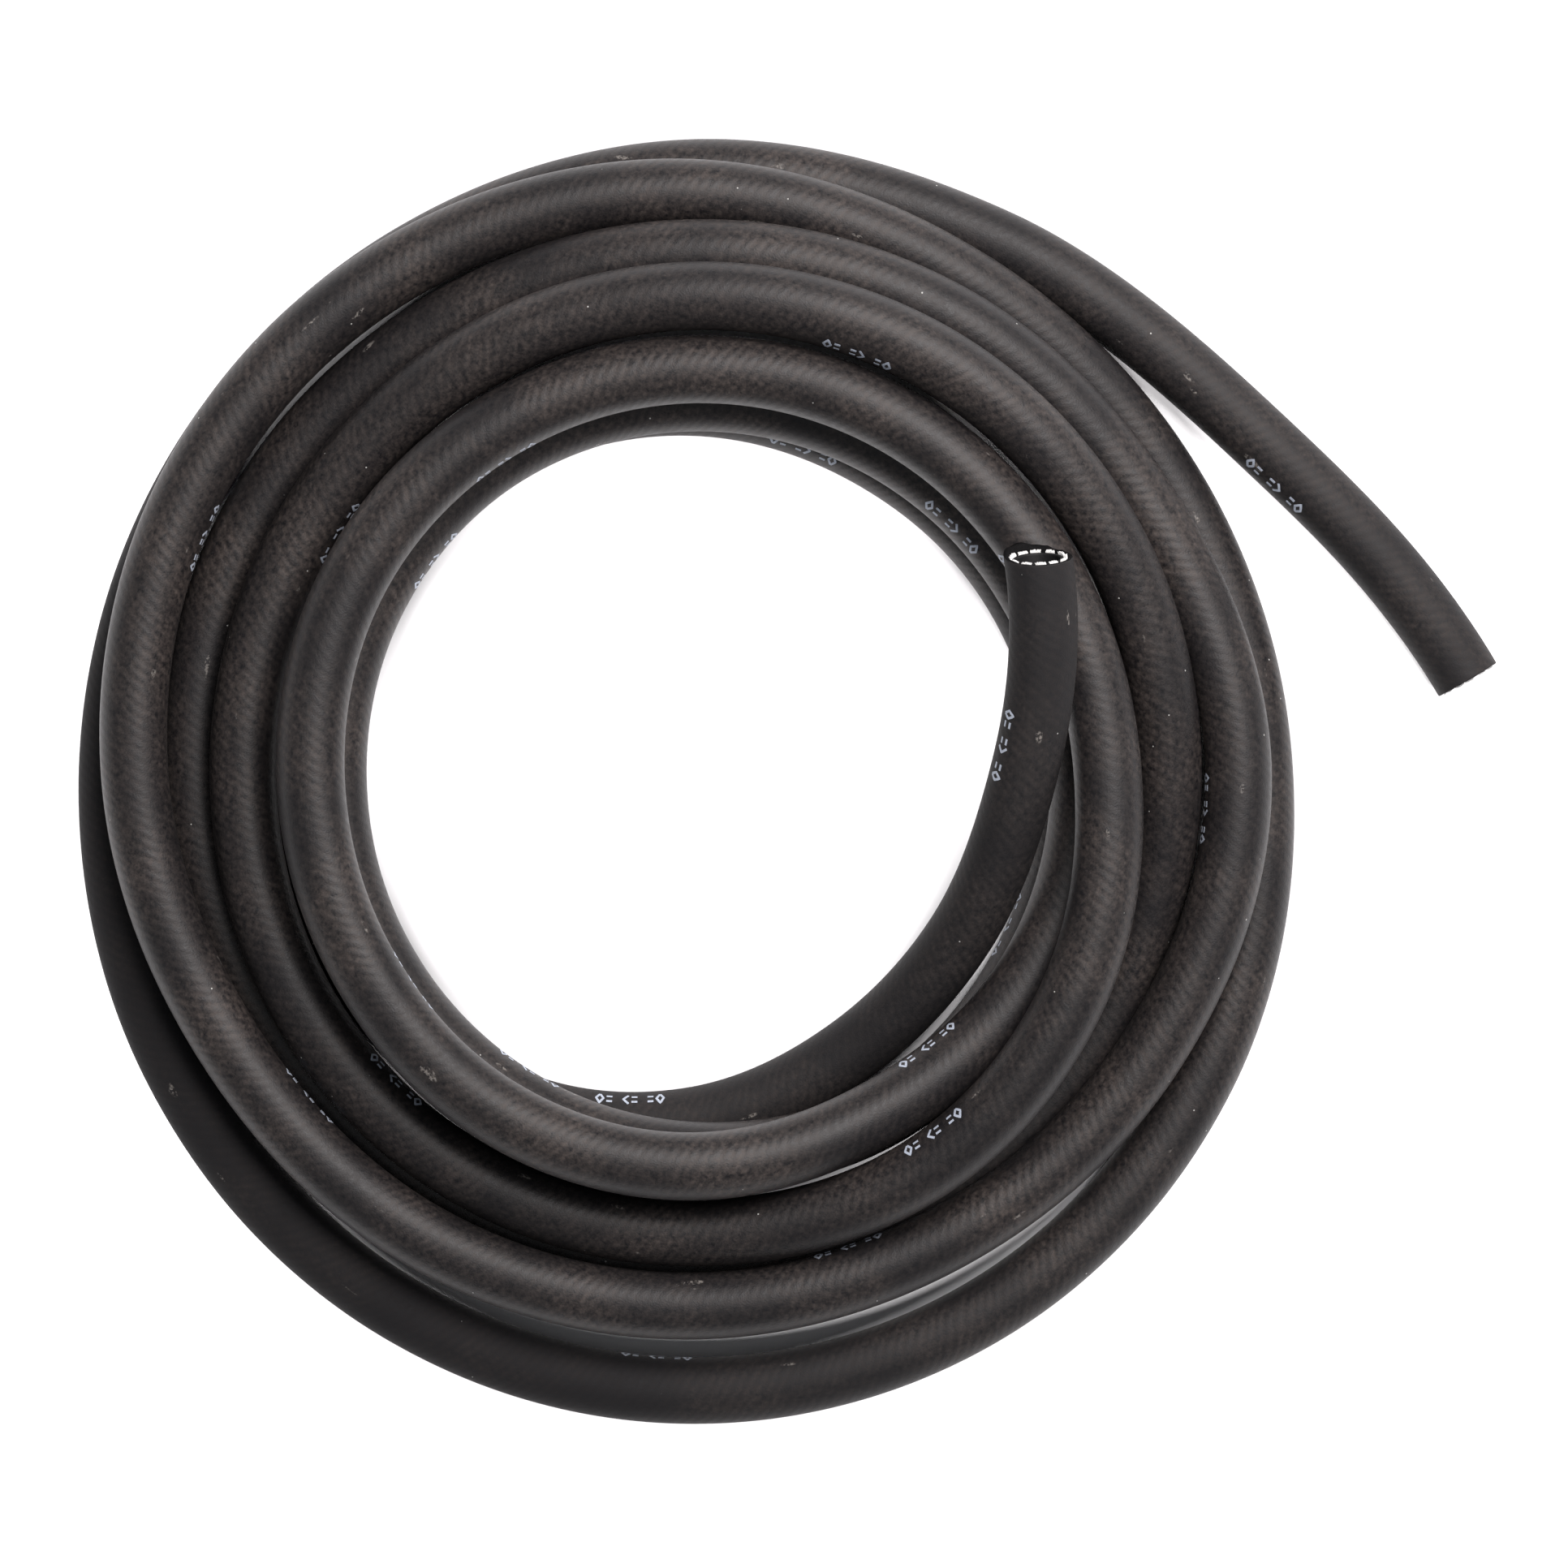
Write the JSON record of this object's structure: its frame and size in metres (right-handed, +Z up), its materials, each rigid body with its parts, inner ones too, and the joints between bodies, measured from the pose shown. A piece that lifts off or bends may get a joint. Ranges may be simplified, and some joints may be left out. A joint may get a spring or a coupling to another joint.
{
  "type": "reinforced rubber hose",
  "caption": "Plain-ended flexible rubber hose with a yarn-reinforced wall, laid down as a loose flat coil with a trailing tail.",
  "frame": {"origin": "on the surface that the coil lies on, under the middle of the whole outline", "axes": "+Z up out of the coil, +X from the middle of the coil towards the side that the tail runs off to, +Y along the direction that the free end on top points to"},
  "size_m": [0.425, 0.3822, 0.0852],
  "materials": {
    "cover_rubber": "dull black cover with yarn ridges showing through, lightly dusty",
    "tube_rubber": "smooth black bore",
    "reinforcement_yarn": "undyed white textile yarn"
  },
  "bodies": {
    "root": {"outer_cover": "cover_rubber", "inner_tube": "tube_rubber", "yarn_reinforcement": "reinforcement_yarn", "yarn_end_tail_01": "reinforcement_yarn", "yarn_end_tail_02": "reinforcement_yarn", "yarn_end_tail_03": "reinforcement_yarn", "yarn_end_tail_04": "reinforcement_yarn", "yarn_end_tail_05": "reinforcement_yarn", "yarn_end_tail_06": "reinforcement_yarn", "yarn_end_tail_07": "reinforcement_yarn", "yarn_end_tail_08": "reinforcement_yarn", "yarn_end_tail_09": "reinforcement_yarn", "yarn_end_tail_10": "reinforcement_yarn", "yarn_end_tail_11": "reinforcement_yarn", "yarn_end_tail_12": "reinforcement_yarn", "yarn_end_top_01": "reinforcement_yarn", "yarn_end_top_02": "reinforcement_yarn", "yarn_end_top_03": "reinforcement_yarn", "yarn_end_top_04": "reinforcement_yarn", "yarn_end_top_05": "reinforcement_yarn", "yarn_end_top_06": "reinforcement_yarn", "yarn_end_top_07": "reinforcement_yarn", "yarn_end_top_08": "reinforcement_yarn", "yarn_end_top_09": "reinforcement_yarn", "yarn_end_top_10": "reinforcement_yarn", "yarn_end_top_11": "reinforcement_yarn", "yarn_end_top_12": "reinforcement_yarn"}
  },
  "joints": []
}
